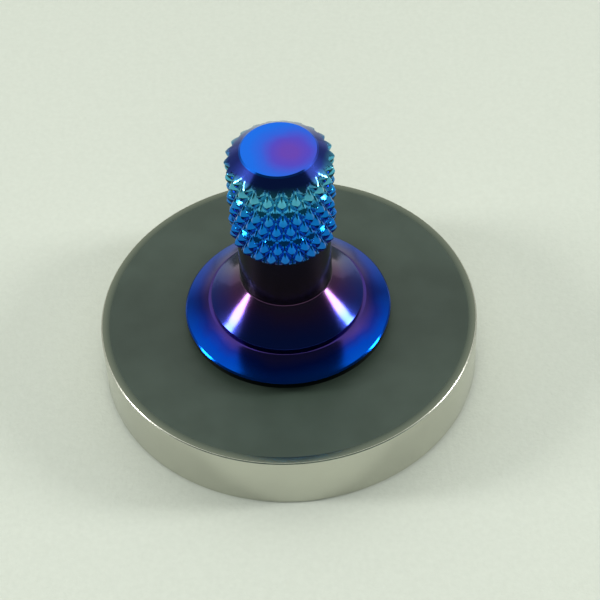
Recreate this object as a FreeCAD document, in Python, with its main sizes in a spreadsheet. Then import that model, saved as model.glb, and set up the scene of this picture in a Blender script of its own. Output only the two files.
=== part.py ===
import FreeCAD, Part
import math
import os
import Sketcher

# A light-up spinning top.  A steel ring carries the weight at the rim.  A smoked window closes the ring
# above, and a steel cover with a threaded boss closes it below.  The lamps, their board, the cells and
# two centrifugal switches lie between.  A flange and a knurled grip stand on the axis: the grip's stud
# screws into the boss and clamps the whole stack.  The top spins on a ceramic ball in the boss.
#
# Millimetres.  +Z is the spin axis and points up the grip.  The origin is the lowest point of the ball.
# "Level" means a height along Z, and "radius" a distance from the axis, unless a name says otherwise.

doc = FreeCAD.newDocument("spinning_top")

# ---------------------------------------------------------------------------------------------------
# Driving dimensions

DIMENSIONS = [
    # tip and lower cover
    ("tip_drop", 1.0, "how far the ball stands out below the wheel"),
    ("ball_radius", 2.0, "ceramic ball"),
    ("ball_gap", 0.02, "glue gap round the ball"),
    ("ball_roof", 0.5, "metal between the ball's pocket and the stud's bore"),
    ("cover_thickness", 1.2, "lower cover"),
    ("cover_gap", 0.05, "radial gap round the lower cover"),
    ("boss_radius", 4.0, "threaded boss of the lower cover"),
    ("spanner_radius", 0.8, "each of the two spanner holes"),
    ("spanner_depth", 0.7, "depth of the spanner holes"),
    ("spanner_circle", 11.5, "radius that the spanner holes stand on"),
    # wheel
    ("rim_width", 4.0, "steel outside the lower cover"),
    ("cover_ledge", 1.0, "shoulder that the lower cover seats on"),
    ("edge_bevel", 0.4, "polished bevel of the wheel's edges"),
    ("lip_width", 0.7, "bright lip round the window"),
    ("window_thickness", 1.0, "smoked window"),
    ("window_gap", 0.05, "radial gap round the window"),
    # what the wheel holds, from the lower cover upwards
    ("link_thickness", 0.15, "plate that joins the two cells in series"),
    ("link_margin", 0.45, "plate on each side of its hole for the boss"),
    ("link_reach", 4.0, "plate beyond the middle of each cell"),
    ("cell_radius", 4.75, "button cell"),
    ("cell_height", 2.1, "button cell"),
    ("cell_play", 0.1, "radial gap round a cell"),
    ("cell_crimp", 0.35, "width and height of the crimped edge of a cell"),
    ("carrier_wall", 0.5, "carrier wall inside and outside a cell"),
    ("boss_gap", 0.15, "gap between the boss and what surrounds it"),
    ("cavity_gap", 0.15, "gap between the wheel's bore and what it holds"),
    ("finger_room", 0.25, "height of a spring finger between a cell and the board"),
    ("finger_thickness", 0.1, "spring finger"),
    ("finger_length", 3.6, "spring finger"),
    ("finger_width", 1.2, "spring finger"),
    ("board_thickness", 0.8, "circuit board"),
    ("lamp_height", 0.8, "lamp"),
    ("lamp_length", 2.0, "lamp, along the ring of lamps"),
    ("lamp_width", 1.25, "lamp, across the ring of lamps"),
    ("lamp_lens_inset", 0.2, "lamp body outside its lens, on each side"),
    ("lamp_lens_height", 0.25, "lens on top of the lamp's body"),
    ("lamp_gap", 0.2, "air between the lamps and the window"),
    ("lamp_edge", 0.9, "board outside the lamps"),
    ("chip_side", 3.0, "controller chip"),
    ("chip_height", 0.7, "controller chip"),
    ("chip_pin_side", 3.8, "controller chip over its pads"),
    ("chip_pin_height", 0.15, "the chip's pads"),
    ("resistor_length", 1.6, "resistor"),
    ("resistor_width", 0.8, "resistor"),
    ("resistor_height", 0.45, "resistor"),
    ("chip_gap", 0.25, "gap between the chip and the cushion"),
    ("cushion_width", 0.9, "rubber ring round the boss, between the board and the window"),
    # centrifugal switches
    ("channel_depth", 1.9, "channel in the carrier, from the board down"),
    ("channel_width", 2.4, "channel in the carrier"),
    ("channel_wall", 0.85, "carrier wall at the channel's inner end"),
    ("slide_gap", 0.08, "gap all round a sliding weight"),
    ("weight_length", 2.5, "sliding weight, along the channel"),
    ("switch_travel", 0.6, "outward travel that closes the switch"),
    ("pin_radius", 0.3, "pin of the fixed contact"),
    ("pin_length", 2.0, "pin of the fixed contact"),
    ("contact_thickness", 0.3, "plate of the fixed contact"),
    ("spring_thickness", 0.1, "folded leaf spring beside the pin"),
    ("spring_height", 0.8, "folded leaf spring"),
    # flange
    ("flange_radius", 10.85, "flange"),
    ("foot_inset", 1.25, "undercut at the flange's foot, across"),
    ("foot_height", 0.85, "undercut at the flange's foot, up"),
    ("flange_edge", 0.7, "upright edge of the flange"),
    ("flange_bevel", 0.15, "bevel above the upright edge"),
    ("flange_top", 3.2, "seat of the grip, above the face"),
    ("seat_rim", 0.3, "flange outside the grip's foot"),
    # grip
    ("stud_radius", 2.0, "threaded stud"),
    ("thread_gap", 0.05, "radial gap of the thread"),
    ("stud_end_gap", 0.3, "gap below the stud"),
    ("stem_foot_radius", 8.0, "foot of the grip's cone"),
    ("stem_foot_height", 0.4, "upright foot of the grip's cone"),
    ("cone_height", 3.6, "cone between the foot and the neck"),
    ("neck_radius", 4.8, "neck"),
    ("neck_height", 5.8, "neck"),
    ("grip_radius", 5.5, "grip over the knurl's points"),
    ("grip_length", 11.58, "grip from the neck to the top"),
    ("grip_bevel", 0.7, "height of the bevel under the grip"),
    ("chamfer_width", 1.72, "chamfer above the grip, across"),
    ("chamfer_height", 1.38, "chamfer above the grip, down"),
    ("dish_depth", 0.12, "hollow of the flat top"),
    ("dish_rim", 0.3, "level rim round the hollow"),
    # knurl and ring grooves
    ("knurl_count", 22, "pyramids in one turn"),
    ("knurl_row", 1.333, "height between one row of points and the next"),
    ("knurl_depth", 0.65, "height of a pyramid"),
    ("groove_height", 3.5, "lower ring groove above the neck"),
    ("groove_rows", 3, "rows of points from one ring groove to the next"),
    ("groove_reach", 0.65, "height of each wall of a ring groove"),
]

dims = doc.addObject("Spreadsheet::Sheet", "dims")
for row, (alias, value, meaning) in enumerate(DIMENSIONS, start=1):
    dims.set(f"A{row}", meaning)
    dims.set(f"B{row}", str(value))
    dims.setAlias(f"B{row}", alias)
doc.recompute()

# ---------------------------------------------------------------------------------------------------
# Worked-out dimensions: each follows from the driving ones

WORKED_OUT = [
    # levels, upwards
    ("underside", "dims.tip_drop"),
    ("cover_top", "underside + dims.cover_thickness"),
    ("carrier_bottom", "cover_top + dims.link_thickness"),
    ("cell_top", "carrier_bottom + dims.cell_height"),
    ("board_bottom", "cell_top + dims.finger_room"),
    ("board_top", "board_bottom + dims.board_thickness"),
    ("window_bottom", "board_top + dims.lamp_height + dims.lamp_gap"),
    ("face", "window_bottom + dims.window_thickness"),
    ("stud_floor", "2 * dims.ball_radius + dims.ball_roof"),
    ("flange_edge_bottom", "face + dims.foot_height"),
    ("flange_edge_top", "flange_edge_bottom + dims.flange_edge"),
    ("seat", "face + dims.flange_top"),
    ("cone_bottom", "seat + dims.stem_foot_height"),
    ("neck_bottom", "cone_bottom + dims.cone_height"),
    ("grip_bottom", "neck_bottom + dims.neck_height"),
    ("grip_top", "grip_bottom + dims.grip_length"),
    # radii, outwards
    ("stud_bore", "dims.stud_radius + dims.thread_gap"),
    ("core_radius", "dims.boss_radius + dims.boss_gap"),
    ("pocket_radius", "dims.cell_radius + dims.cell_play"),
    ("cell_circle", "core_radius + dims.carrier_wall + pocket_radius"),
    ("carrier_radius", "cell_circle + pocket_radius + dims.carrier_wall"),
    ("cavity_radius", "carrier_radius + dims.cavity_gap"),
    ("cover_seat", "cavity_radius + dims.cover_ledge"),
    ("cover_radius", "cover_seat - dims.cover_gap"),
    ("wheel_radius", "cover_seat + dims.rim_width"),
    ("lip_radius", "wheel_radius - dims.edge_bevel"),
    ("window_seat", "lip_radius - dims.lip_width"),
    ("window_radius", "window_seat - dims.window_gap"),
    ("cushion_radius", "core_radius + dims.cushion_width"),
    ("chip_circle", "cushion_radius + dims.chip_gap + dims.chip_pin_side / 2"),
    ("lamp_circle", "carrier_radius - dims.lamp_edge - dims.lamp_width / 2"),
    ("foot_radius", "dims.flange_radius - dims.foot_inset"),
    ("seat_radius", "dims.stem_foot_radius + dims.seat_rim"),
    ("top_radius", "dims.grip_radius - dims.chamfer_width"),
    ("root_radius", "dims.grip_radius - dims.knurl_depth"),
    # along a switch's channel, outwards
    ("channel_start", "core_radius + dims.channel_wall"),
    ("weight_start", "channel_start + dims.slide_gap"),
    ("weight_end", "weight_start + dims.weight_length"),
    ("pin_start", "weight_end + dims.switch_travel + dims.slide_gap"),
    ("contact_start", "pin_start + dims.pin_length"),
    ("channel_end", "contact_start + dims.contact_thickness"),
    # across and up a switch's channel
    ("channel_floor", "board_bottom - dims.channel_depth"),
    ("channel_middle", "board_bottom - dims.channel_depth / 2"),
    ("weight_width", "dims.channel_width - 2 * dims.slide_gap"),
    ("weight_height", "dims.channel_depth - 2 * dims.slide_gap"),
    # knurl and ring grooves
    ("groove_level", "grip_bottom + dims.groove_height"),
]

made = doc.addObject("App::VarSet", "made")
for name, formula in WORKED_OUT:
    made.addProperty("App::PropertyFloat", name)
    made.setExpression(name, formula)
doc.recompute()

SUB_PARTS = []
HALF_TURN = 180
LAMP_COUNT = 6
RESISTOR_ANGLES = (90, 180, 270)
CELL_ANGLES = (0, 180)
SWITCH_ANGLES = (90, 270)

# ---------------------------------------------------------------------------------------------------
# Helpers


def sub_part(name, feature):
    """Give a finished object the name of its node, and remember it for export."""
    feature.Label = name
    SUB_PARTS.append(feature)
    return feature


def sketch_on(body, role, level="0"):
    """A sketch on one of the body's own origin planes, raised along that plane's normal."""
    sketch = body.newObject("Sketcher::SketchObject", f"{body.Name}_sketch")
    plane = next(item for item in body.Origin.OriginFeatures if item.Role == role)
    sketch.AttachmentSupport = [(plane, "")]
    sketch.MapMode = "FlatFace"
    sketch.setExpression("AttachmentOffset.Base.z", level)
    return sketch


def draw_outline(sketch, corners):
    """Draw a closed run of straight lines through corners given as pairs of formulas."""
    count = len(corners)
    start = len(sketch.Geometry)
    turn = 2 * math.pi / count
    rough = [FreeCAD.Vector(math.cos(turn * i), math.sin(turn * i), 0) for i in range(count)]
    for i in range(count):
        sketch.addGeometry(Part.LineSegment(rough[i], rough[(i + 1) % count]), False)
    for i in range(count):
        following = start + (i + 1) % count
        sketch.addConstraint(Sketcher.Constraint("Coincident", start + i, 2, following, 1))
    for i, (across, along) in enumerate(corners):
        for kind, formula in (("DistanceX", across), ("DistanceY", along)):
            constraint = Sketcher.Constraint(kind, -1, 1, start + i, 1, 1.0)
            sketch.setExpression(f"Constraints[{sketch.addConstraint(constraint)}]", formula)


def draw_circle(sketch, across, along, radius):
    """Draw a circle whose centre and radius are formulas."""
    centre = FreeCAD.Vector(1, 1, 0)
    circle = sketch.addGeometry(Part.Circle(centre, FreeCAD.Vector(0, 0, 1), 1), False)
    for kind, formula in (("DistanceX", across), ("DistanceY", along)):
        constraint = Sketcher.Constraint(kind, -1, 1, circle, 3, 1.0)
        sketch.setExpression(f"Constraints[{sketch.addConstraint(constraint)}]", formula)
    constraint = Sketcher.Constraint("Radius", circle, 1.0)
    sketch.setExpression(f"Constraints[{sketch.addConstraint(constraint)}]", radius)


def turned(name, outline):
    """A body turned about Z from a closed outline of (radius, level) formulas."""
    body = doc.addObject("PartDesign::Body", f"{name}_body")
    sketch = sketch_on(body, "XZ_Plane")
    draw_outline(sketch, outline)
    turning = body.newObject("PartDesign::Revolution", f"{name}_turning")
    turning.Profile = sketch
    turning.ReferenceAxis = (sketch, ["V_Axis"])
    turning.Angle = 360
    return body


def washer(name, inner, outer, bottom, top):
    """A flat ring between two radii and two levels."""
    return turned(name, [(inner, bottom), (outer, bottom), (outer, top), (inner, top)])


def box_corners(length, width):
    """Corners of a rectangle about the origin, as formulas."""
    end = f"({length}) / 2"
    side = f"({width}) / 2"
    return [(f"-{end}", f"-{side}"), (end, f"-{side}"), (end, side), (f"-{end}", side)]


def block(name, length, width, height):
    """A body that stands on XY: a rectangle about the origin, raised to its height."""
    body = doc.addObject("PartDesign::Body", f"{name}_body")
    add_block(body, length, width, height)
    return body


def add_block(body, length, width, height, level="0"):
    """Add to a body a rectangle about the origin, raised from its level."""
    sketch = sketch_on(body, "XY_Plane", level)
    draw_outline(sketch, box_corners(length, width))
    pad = body.newObject("PartDesign::Pad", f"{body.Name}_pad")
    pad.Profile = sketch
    pad.setExpression("Length", height)


def stand(feature, radius, angle, level):
    """Stand an object at a radius, an angle in degrees and a level, turned to face outwards."""
    feature.setExpression("Placement.Base.x", f"({radius}) * cos({angle})")
    feature.setExpression("Placement.Base.y", f"({radius}) * sin({angle})")
    feature.setExpression("Placement.Base.z", level)
    feature.setExpression("Placement.Rotation.Angle", f"{angle}")
    return feature


def cut_down(body, draw, level, depth):
    """Cut a pocket down from a level, and make sure that it took something away."""
    doc.recompute()
    before = body.Shape.Volume
    sketch = sketch_on(body, "XY_Plane", level)
    draw(sketch)
    pocket = body.newObject("PartDesign::Pocket", f"{body.Name}_pocket")
    pocket.Profile = sketch
    pocket.setExpression("Length", depth)
    doc.recompute()
    if body.Shape.Volume >= before:
        raise RuntimeError(f"{pocket.Name} cuts nothing")
    return pocket


# ---------------------------------------------------------------------------------------------------
# Wheel


def build_flywheel_ring():
    """Steel ring: a recess for the window above, a seat for the cover below, a bore between them."""
    sub_part("flywheel_ring", turned("flywheel_ring", [
        ("made.cover_seat", "made.underside"),
        ("made.lip_radius", "made.underside"),
        ("made.wheel_radius", "made.underside + dims.edge_bevel"),
        ("made.wheel_radius", "made.face - dims.edge_bevel"),
        ("made.lip_radius", "made.face"),
        ("made.window_seat", "made.face"),
        ("made.window_seat", "made.window_bottom"),
        ("made.cavity_radius", "made.window_bottom"),
        ("made.cavity_radius", "made.cover_top"),
        ("made.cover_seat", "made.cover_top"),
    ]))


def build_window():
    """Smoked window: the dark upper face, flush with the lip and with the boss."""
    sub_part("face_window", washer(
        "face_window", "made.core_radius", "made.window_radius", "made.window_bottom", "made.face"))


def build_cushion():
    """Rubber ring that presses the board down on the carrier when the grip is screwed tight."""
    sub_part("board_cushion", washer(
        "board_cushion", "made.core_radius", "made.cushion_radius", "made.board_top", "made.window_bottom"))


def build_base_cover():
    """Lower cover: a disc with a boss, bored from above for the stud and from below for the ball."""
    body = turned("base_cover", [
        ("dims.ball_radius + dims.ball_gap", "made.underside"),
        ("made.cover_radius", "made.underside"),
        ("made.cover_radius", "made.cover_top"),
        ("dims.boss_radius", "made.cover_top"),
        ("dims.boss_radius", "made.face"),
        ("made.stud_bore", "made.face"),
        ("made.stud_bore", "made.stud_floor"),
        ("0", "made.stud_floor"),
        ("0", "2 * dims.ball_radius"),
        ("dims.ball_radius + dims.ball_gap", "2 * dims.ball_radius"),
    ])

    def draw_spanner_holes(sketch):
        for side in ("", "-"):
            draw_circle(sketch, f"{side}dims.spanner_circle", "0", "dims.spanner_radius")

    cut_down(body, draw_spanner_holes, "made.underside + dims.spanner_depth", "dims.spanner_depth")
    sub_part("base_cover", body)


def build_tip_ball():
    """Ceramic ball that the top spins on."""
    ball = doc.addObject("Part::Sphere", "tip_ball_sphere")
    ball.setExpression("Radius", "dims.ball_radius")
    ball.setExpression("Placement.Base.z", "dims.ball_radius")
    sub_part("tip_ball", ball)


# ---------------------------------------------------------------------------------------------------
# What the wheel holds


def build_circuit_board():
    """Ring-shaped board that lies on the carrier."""
    sub_part("circuit_board", washer(
        "circuit_board", "made.core_radius", "made.carrier_radius", "made.board_bottom", "made.board_top"))


def build_lamps():
    """Lamps in a ring on the board, each a body with a smaller lens on top."""
    for number in range(LAMP_COUNT):
        name = f"led_{number + 1}"
        body = block(name, "dims.lamp_width", "dims.lamp_length", "dims.lamp_height - dims.lamp_lens_height")
        add_block(
            body,
            "dims.lamp_width - 2 * dims.lamp_lens_inset",
            "dims.lamp_length - 2 * dims.lamp_lens_inset",
            "dims.lamp_height",
        )
        angle = (number + 0.5) * 2 * HALF_TURN / LAMP_COUNT
        sub_part(name, stand(body, "made.lamp_circle", angle, "made.board_top"))


def build_controller():
    """Controller chip on its pads, and the resistors, on a circle of their own."""
    chip = block("controller_chip", "dims.chip_pin_side", "dims.chip_pin_side", "dims.chip_pin_height")
    add_block(chip, "dims.chip_side", "dims.chip_side", "dims.chip_height")
    sub_part("controller_chip", stand(chip, "made.chip_circle", 0, "made.board_top"))
    for number, angle in enumerate(RESISTOR_ANGLES, start=1):
        name = f"resistor_{number}"
        body = block(name, "dims.resistor_width", "dims.resistor_length", "dims.resistor_height")
        sub_part(name, stand(body, "made.chip_circle", angle, "made.board_top"))


def build_cell_carrier():
    """Moulded carrier: a round pocket through it for each cell, a blind channel for each switch."""
    body = washer(
        "cell_carrier", "made.core_radius", "made.carrier_radius", "made.carrier_bottom", "made.board_bottom")

    def draw_cell_pockets(sketch):
        for side in ("", "-"):
            draw_circle(sketch, f"{side}made.cell_circle", "0", "made.pocket_radius")

    def draw_channels(sketch):
        half = "dims.channel_width / 2"
        for side in ("", "-"):
            near = f"{side}made.channel_start"
            far = f"{side}made.channel_end"
            draw_outline(sketch, [(f"-{half}", near), (half, near), (half, far), (f"-{half}", far)])

    cut_down(body, draw_cell_pockets, "made.board_bottom", "made.board_bottom - made.carrier_bottom")
    cut_down(body, draw_channels, "made.board_bottom", "dims.channel_depth")
    sub_part("cell_carrier", body)


def build_cells():
    """Button cells, the plate that joins them below, and a spring finger above each."""
    plate = doc.addObject("PartDesign::Body", "link_plate_body")
    sketch = sketch_on(plate, "XY_Plane", "made.cover_top")
    draw_outline(sketch, box_corners(
        "2 * (made.cell_circle + dims.link_reach)", "2 * (made.core_radius + dims.link_margin)"))
    draw_circle(sketch, "0", "0", "made.core_radius")
    pad = plate.newObject("PartDesign::Pad", "link_plate_pad")
    pad.Profile = sketch
    pad.setExpression("Length", "dims.link_thickness")
    sub_part("link_plate", plate)
    for number, angle in enumerate(CELL_ANGLES, start=1):
        cell = turned(f"cell_{number}", [
            ("0", "0"),
            ("dims.cell_radius", "0"),
            ("dims.cell_radius", "dims.cell_height - dims.cell_crimp"),
            ("dims.cell_radius - dims.cell_crimp", "dims.cell_height"),
            ("0", "dims.cell_height"),
        ])
        sub_part(f"cell_{number}", stand(cell, "made.cell_circle", angle, "made.carrier_bottom"))
        sub_part(f"cell_finger_{number}", stand(finger(number), "made.cell_circle", angle, "made.cell_top"))


def finger(number):
    """A bowed strip: its middle presses on the cell and its two ends on the board."""
    body = doc.addObject("PartDesign::Body", f"cell_finger_{number}_body")
    sketch = sketch_on(body, "XZ_Plane")
    sole = "dims.finger_length / 6"
    toe = "dims.finger_length / 2"
    raised = "dims.finger_thickness"
    draw_outline(sketch, [
        (f"-{sole}", "0"),
        (sole, "0"),
        (toe, "dims.finger_room - dims.finger_thickness"),
        (toe, "dims.finger_room"),
        (sole, raised),
        (f"-{sole}", raised),
        (f"-{toe}", "dims.finger_room"),
        (f"-{toe}", "dims.finger_room - dims.finger_thickness"),
    ])
    pad = body.newObject("PartDesign::Pad", f"cell_finger_{number}_pad")
    pad.Profile = sketch
    pad.Midplane = True
    pad.setExpression("Length", "dims.finger_width")
    return body


# ---------------------------------------------------------------------------------------------------
# Centrifugal switches


def build_switches():
    """Two opposed switches.  A weight slides outwards against a folded spring, to a fixed pin."""
    for number, angle in enumerate(SWITCH_ANGLES, start=1):
        name = f"switch_weight_{number}"
        weight = block(name, "dims.weight_length", "made.weight_width", "made.weight_height")
        middle = "made.weight_start + dims.weight_length / 2"
        sub_part(name, stand(weight, middle, angle, "made.channel_floor + dims.slide_gap"))
        sub_part(f"switch_contact_{number}", stand(fixed_contact(number), "0", angle, "0"))
        sub_part(f"switch_spring_{number}", stand(folded_spring(number), "0", angle, "0"))


def fixed_contact(number):
    """Plate across the channel's outer end, with a round pin that points at the weight."""
    body = doc.addObject("PartDesign::Body", f"switch_contact_{number}_body")
    sketch = sketch_on(body, "YZ_Plane", "made.contact_start")
    half = "dims.channel_width / 2"
    draw_outline(sketch, [
        (f"-{half}", "made.channel_floor"),
        (half, "made.channel_floor"),
        (half, "made.board_bottom"),
        (f"-{half}", "made.board_bottom"),
    ])
    plate = body.newObject("PartDesign::Pad", f"switch_contact_{number}_plate")
    plate.Profile = sketch
    plate.setExpression("Length", "dims.contact_thickness")
    round_sketch = sketch_on(body, "YZ_Plane", "made.pin_start")
    draw_circle(round_sketch, "0", "made.channel_middle", "dims.pin_radius")
    pin = body.newObject("PartDesign::Pad", f"switch_contact_{number}_pin")
    pin.Profile = round_sketch
    pin.setExpression("Length", "dims.pin_length + dims.contact_thickness / 2")
    return body


def folded_spring(number):
    """Folded leaf spring on each side of the pin, between the weight and the fixed contact."""
    body = doc.addObject("PartDesign::Body", f"switch_spring_{number}_body")
    sketch = sketch_on(body, "XY_Plane", "made.channel_middle - dims.spring_height / 2")
    for side in ("", "-"):
        draw_outline(sketch, spring_outline(side))
    pad = body.newObject("PartDesign::Pad", f"switch_spring_{number}_pad")
    pad.Profile = sketch
    pad.setExpression("Length", "dims.spring_height")
    return body


def spring_outline(side):
    """Zigzag strip from the weight to the contact plate, on one side of the pin, as formulas."""
    folds = 4
    near = "(dims.pin_radius + dims.slide_gap)"
    far = "(made.weight_width / 2 - dims.slide_gap - dims.spring_thickness)"
    pitch = f"(made.contact_start - made.weight_end) / {folds}"
    inner_edge = []
    outer_edge = []
    for fold in range(folds + 1):
        along = f"made.weight_end + {pitch} * {fold}"
        across = near if fold % 2 == 0 else far
        inner_edge.append((along, f"{side}{across}"))
        outer_edge.append((along, f"{side}({across} + dims.spring_thickness)"))
    return inner_edge + outer_edge[::-1]


# ---------------------------------------------------------------------------------------------------
# Flange and grip


def build_flange():
    """Collar that stands on the face: an undercut foot, an upright edge and a sloping crown."""
    sub_part("flange", turned("flange", [
        ("made.stud_bore", "made.face"),
        ("made.foot_radius", "made.face"),
        ("made.foot_radius", "made.flange_edge_bottom"),
        ("dims.flange_radius", "made.flange_edge_bottom"),
        ("dims.flange_radius", "made.flange_edge_top"),
        ("dims.flange_radius - dims.flange_bevel", "made.flange_edge_top + dims.flange_bevel"),
        ("made.seat_radius", "made.seat"),
        ("made.stud_bore", "made.seat"),
    ]))


def ring_groove(number):
    """Outline of one V groove, which takes a row of points away down to the knurl's root."""
    level = f"made.groove_level + {number} * dims.groove_rows * dims.knurl_row"
    return [
        ("dims.grip_radius", f"{level} - dims.groove_reach"),
        ("made.root_radius", level),
        ("dims.grip_radius", f"{level} + dims.groove_reach"),
    ]


def grip_outline():
    """The grip as it is turned before it is knurled: stud, foot, cone, neck, grip and chamfer."""
    return [
        ("0", "made.stud_floor + dims.stud_end_gap"),
        ("dims.stud_radius", "made.stud_floor + dims.stud_end_gap"),
        ("dims.stud_radius", "made.seat"),
        ("dims.stem_foot_radius", "made.seat"),
        ("dims.stem_foot_radius", "made.cone_bottom"),
        ("dims.neck_radius", "made.neck_bottom"),
        ("dims.neck_radius", "made.grip_bottom"),
        ("dims.grip_radius", "made.grip_bottom + dims.grip_bevel"),
        *ring_groove(0),
        *ring_groove(1),
        ("dims.grip_radius", "made.grip_top - dims.chamfer_height"),
        ("made.top_radius", "made.grip_top"),
        ("made.top_radius - dims.dish_rim", "made.grip_top"),
        ("0", "made.grip_top - dims.dish_depth"),
    ]


def knurl_facets(count, row, tip, root, bottom, rows):
    """Triangles of a diamond knurl, row by row.

    The points of a row stand at every whole step round the axis, and those of the next row half a step
    further and one row higher.  A pyramid reaches half a step to each side and one row up and down, so
    that its four corners lie in the roots between its neighbours.
    """
    def corner(radius, steps, level):
        angle = 2 * math.pi * steps / count
        return FreeCAD.Vector(radius * math.cos(angle), radius * math.sin(angle), bottom + level * row)

    facets = []
    for level in range(rows + 1):
        for step in range(count):
            middle = step + 0.5 * (level % 2)
            point = corner(tip, middle, level)
            left = corner(root, middle - 0.5, level)
            right = corner(root, middle + 0.5, level)
            if level < rows:
                above = corner(root, middle, level + 1)
                facets += [(point, right, above), (point, above, left)]
            if level > 0:
                below = corner(root, middle, level - 1)
                facets += [(point, below, right), (point, left, below)]
    return facets


def knurl_solid():
    """A knurled bar that runs from below the grip's lower end to above its top.

    The lower ring groove is on a row of points.
    """
    count = round(dims.knurl_count)
    row = float(dims.knurl_row)
    rows_below = math.ceil(dims.groove_height / row)
    rows_above = math.ceil((dims.grip_length - dims.groove_height) / row)
    rows = rows_below + rows_above
    bottom = made.groove_level - rows_below * row
    facets = knurl_facets(count, row, float(dims.grip_radius), made.root_radius, bottom, rows)
    faces = [Part.Face(Part.makePolygon([a, b, c, a])) for a, b, c in facets]
    for level in (0, rows):
        rim = []
        for half_step in range(2 * count):
            on_point = half_step % 2 == level % 2
            radius = float(dims.grip_radius) if on_point else made.root_radius
            angle = math.pi * half_step / count
            height = bottom + level * row
            rim.append(FreeCAD.Vector(radius * math.cos(angle), radius * math.sin(angle), height))
        faces.append(Part.Face(Part.makePolygon(rim + rim[:1])))
    shell = Part.makeShell(faces)
    shell.sewShape()
    return Part.makeSolid(shell)


def build_grip():
    """Turned blank, cut back to a diamond knurl over the grip."""
    blank = turned("grip", grip_outline())
    knurl = doc.addObject("Part::Feature", "knurl_form")
    knurl.Shape = knurl_solid()
    sleeve = doc.addObject("Part::Cylinder", "stem_form")
    sleeve.setExpression("Radius", "2 * (dims.stem_foot_radius + dims.neck_radius)")
    sleeve.setExpression("Height", "made.grip_bottom")
    envelope = doc.addObject("Part::Fuse", "grip_envelope")
    envelope.Base = sleeve
    envelope.Tool = knurl
    grip = doc.addObject("Part::Common", "grip_common")
    grip.Base = blank
    grip.Tool = envelope
    sub_part("grip", grip)


# ---------------------------------------------------------------------------------------------------
# Build, check and export


def check(feature):
    """Stop if an object failed, or if a sub-part is empty or broken."""
    if "Invalid" in feature.State or "Error" in feature.State:
        raise RuntimeError(f"{feature.Name} failed: {feature.State}")
    if feature in SUB_PARTS and (feature.Shape.isNull() or not feature.Shape.isValid()):
        raise RuntimeError(f"{feature.Label} has no valid shape")


build_flywheel_ring()
build_window()
build_cushion()
build_base_cover()
build_tip_ball()
build_circuit_board()
build_lamps()
build_controller()
build_cell_carrier()
build_cells()
build_switches()
build_flange()
build_grip()
doc.recompute()

for feature in doc.Objects:
    check(feature)

os.makedirs("parts", exist_ok=True)
for feature in SUB_PARTS:
    feature.Shape.exportStep(f"parts/{feature.Label}.step")
print(f"{len(SUB_PARTS)} sub-parts written")
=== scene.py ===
"""Looks of a light-up spinning top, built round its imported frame.

The frame gives every level and radius that the looks share with the construction. The turned pieces
are surfaces of revolution worked out as whole arrays, and the grip carries a diamond knurl given by a
formula. Lengths in the size fields are millimetres, and everything in a mesh is metres.
"""

import logging
import math
from dataclasses import dataclass, field
from enum import Enum
from typing import Sequence

import bpy
import numpy as np
from mathutils import Matrix, Vector


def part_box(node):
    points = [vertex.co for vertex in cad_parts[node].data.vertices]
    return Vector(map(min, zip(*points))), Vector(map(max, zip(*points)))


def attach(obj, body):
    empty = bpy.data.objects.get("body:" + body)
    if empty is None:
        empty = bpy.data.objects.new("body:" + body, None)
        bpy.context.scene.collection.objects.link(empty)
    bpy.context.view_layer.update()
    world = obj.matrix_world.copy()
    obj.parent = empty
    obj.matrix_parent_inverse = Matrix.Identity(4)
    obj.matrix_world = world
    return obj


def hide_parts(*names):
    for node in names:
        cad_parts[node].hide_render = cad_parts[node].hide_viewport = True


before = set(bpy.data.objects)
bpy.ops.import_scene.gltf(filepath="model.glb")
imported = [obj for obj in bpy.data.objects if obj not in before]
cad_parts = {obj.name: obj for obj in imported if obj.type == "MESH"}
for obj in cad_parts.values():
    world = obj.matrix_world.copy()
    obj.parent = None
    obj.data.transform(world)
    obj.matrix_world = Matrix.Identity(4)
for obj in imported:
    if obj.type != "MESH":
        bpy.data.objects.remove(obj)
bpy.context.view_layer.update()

MM = 0.001
BODY = "top"
log = logging.getLogger("spinning_top")

Colour = tuple[float, float, float]
Bands = tuple[tuple[float, Colour], ...]
Pair = tuple[float, float]
Place = tuple[float, float, float]
Corner = tuple[float, float, float]


def srgb(red: int, green: int, blue: int) -> Colour:
    """Turn a display colour of 0 to 255 into the linear colour that shaders take."""
    display = np.array([red, green, blue]) / 255.0
    linear = np.where(display <= 0.04045, display / 12.92, ((display + 0.055) / 1.055) ** 2.4)
    return tuple(float(channel) for channel in linear)


# ---------------------------------------------------------------------------------------------------
# Shader graphs


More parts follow.
